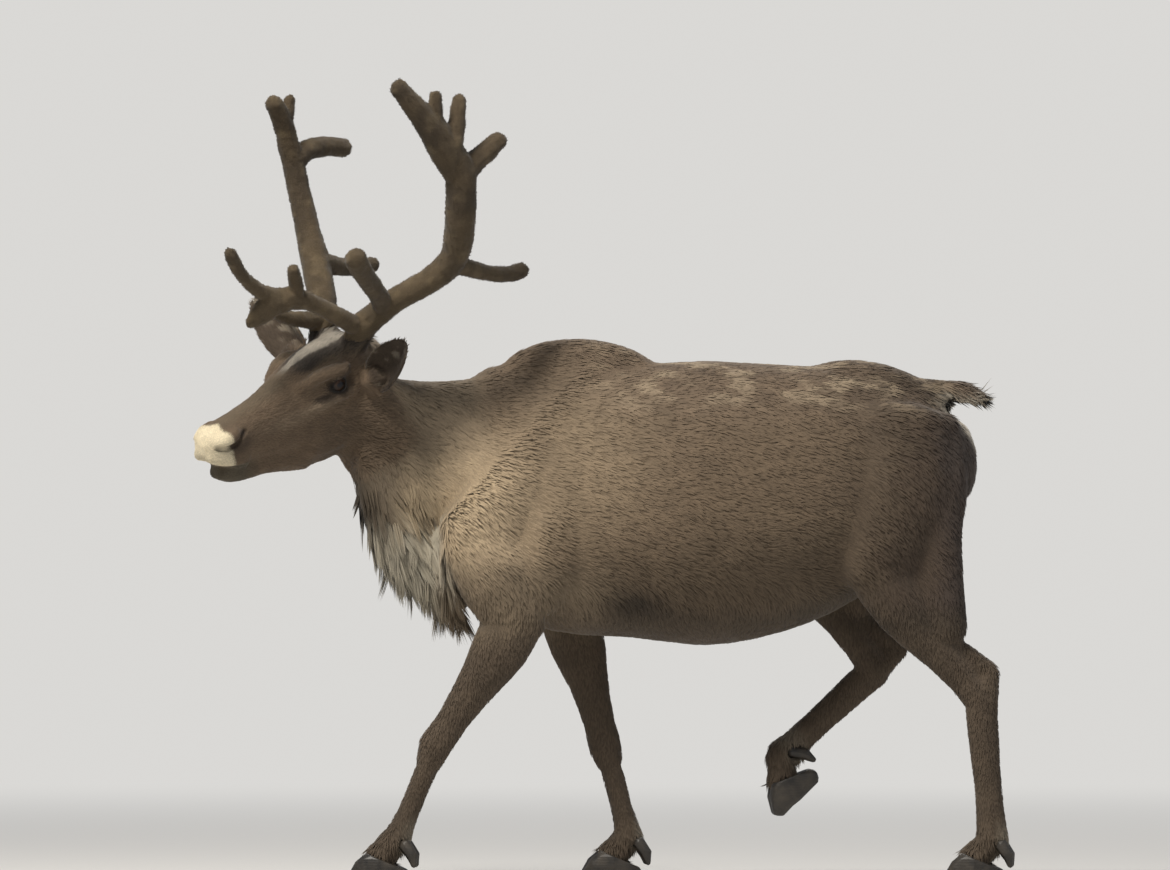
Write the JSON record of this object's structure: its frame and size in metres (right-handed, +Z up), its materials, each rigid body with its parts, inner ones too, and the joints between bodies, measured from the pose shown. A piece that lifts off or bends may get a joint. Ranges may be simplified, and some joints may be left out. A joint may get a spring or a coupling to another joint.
{
  "type": "reindeer",
  "caption": "Life-size still model of a walking reindeer bull in summer coat, antlers in velvet, head turned to its left, one hind foot lifted",
  "frame": {"origin": "centre of the footprint box, on the floor plane under the hooves", "axes": "+X points from the muzzle to the rump, +Y to the animal's right side, +Z up"},
  "size_m": [1.5596, 0.6716, 1.5249],
  "materials": {
    "coat": "short grey-brown summer hair",
    "leg_coat": "short dark brown hair",
    "velvet": "dense short velvet over growing antler",
    "hoof_horn": "dull dark horn",
    "eye_gloss": "wet gloss",
    "tag_metal": "bright metal"
  },
  "bodies": {
    "root": {"head": "coat", "neck": "coat", "torso": "coat", "tail": "coat", "ear_left": "coat", "ear_right": "coat", "eye_left": "eye_gloss", "eye_right": "eye_gloss", "ear_tag": "tag_metal", "antler_left_beam": "velvet", "antler_left_palm": "velvet", "antler_left_brow": "velvet", "antler_left_bez": "velvet", "antler_left_rear": "velvet", "antler_right_beam": "velvet", "antler_right_top": "velvet", "antler_right_brow": "velvet", "antler_right_rear": "velvet", "foreleg_left_upper": "leg_coat", "foreleg_left_lower": "leg_coat", "foreleg_right_upper": "leg_coat", "foreleg_right_lower": "leg_coat", "hindleg_left_upper": "leg_coat", "hindleg_left_lower": "leg_coat", "hindleg_right_upper": "leg_coat", "hindleg_right_lower": "leg_coat", "hoof_foreleg_left_outer": "hoof_horn", "dewclaw_foreleg_left_outer": "hoof_horn", "hoof_foreleg_left_inner": "hoof_horn", "dewclaw_foreleg_left_inner": "hoof_horn", "hoof_foreleg_right_outer": "hoof_horn", "dewclaw_foreleg_right_outer": "hoof_horn", "hoof_foreleg_right_inner": "hoof_horn", "dewclaw_foreleg_right_inner": "hoof_horn", "hoof_hindleg_left_outer": "hoof_horn", "dewclaw_hindleg_left_outer": "hoof_horn", "hoof_hindleg_left_inner": "hoof_horn", "dewclaw_hindleg_left_inner": "hoof_horn", "hoof_hindleg_right_outer": "hoof_horn", "dewclaw_hindleg_right_outer": "hoof_horn", "hoof_hindleg_right_inner": "hoof_horn", "dewclaw_hindleg_right_inner": "hoof_horn"}
  },
  "joints": []
}
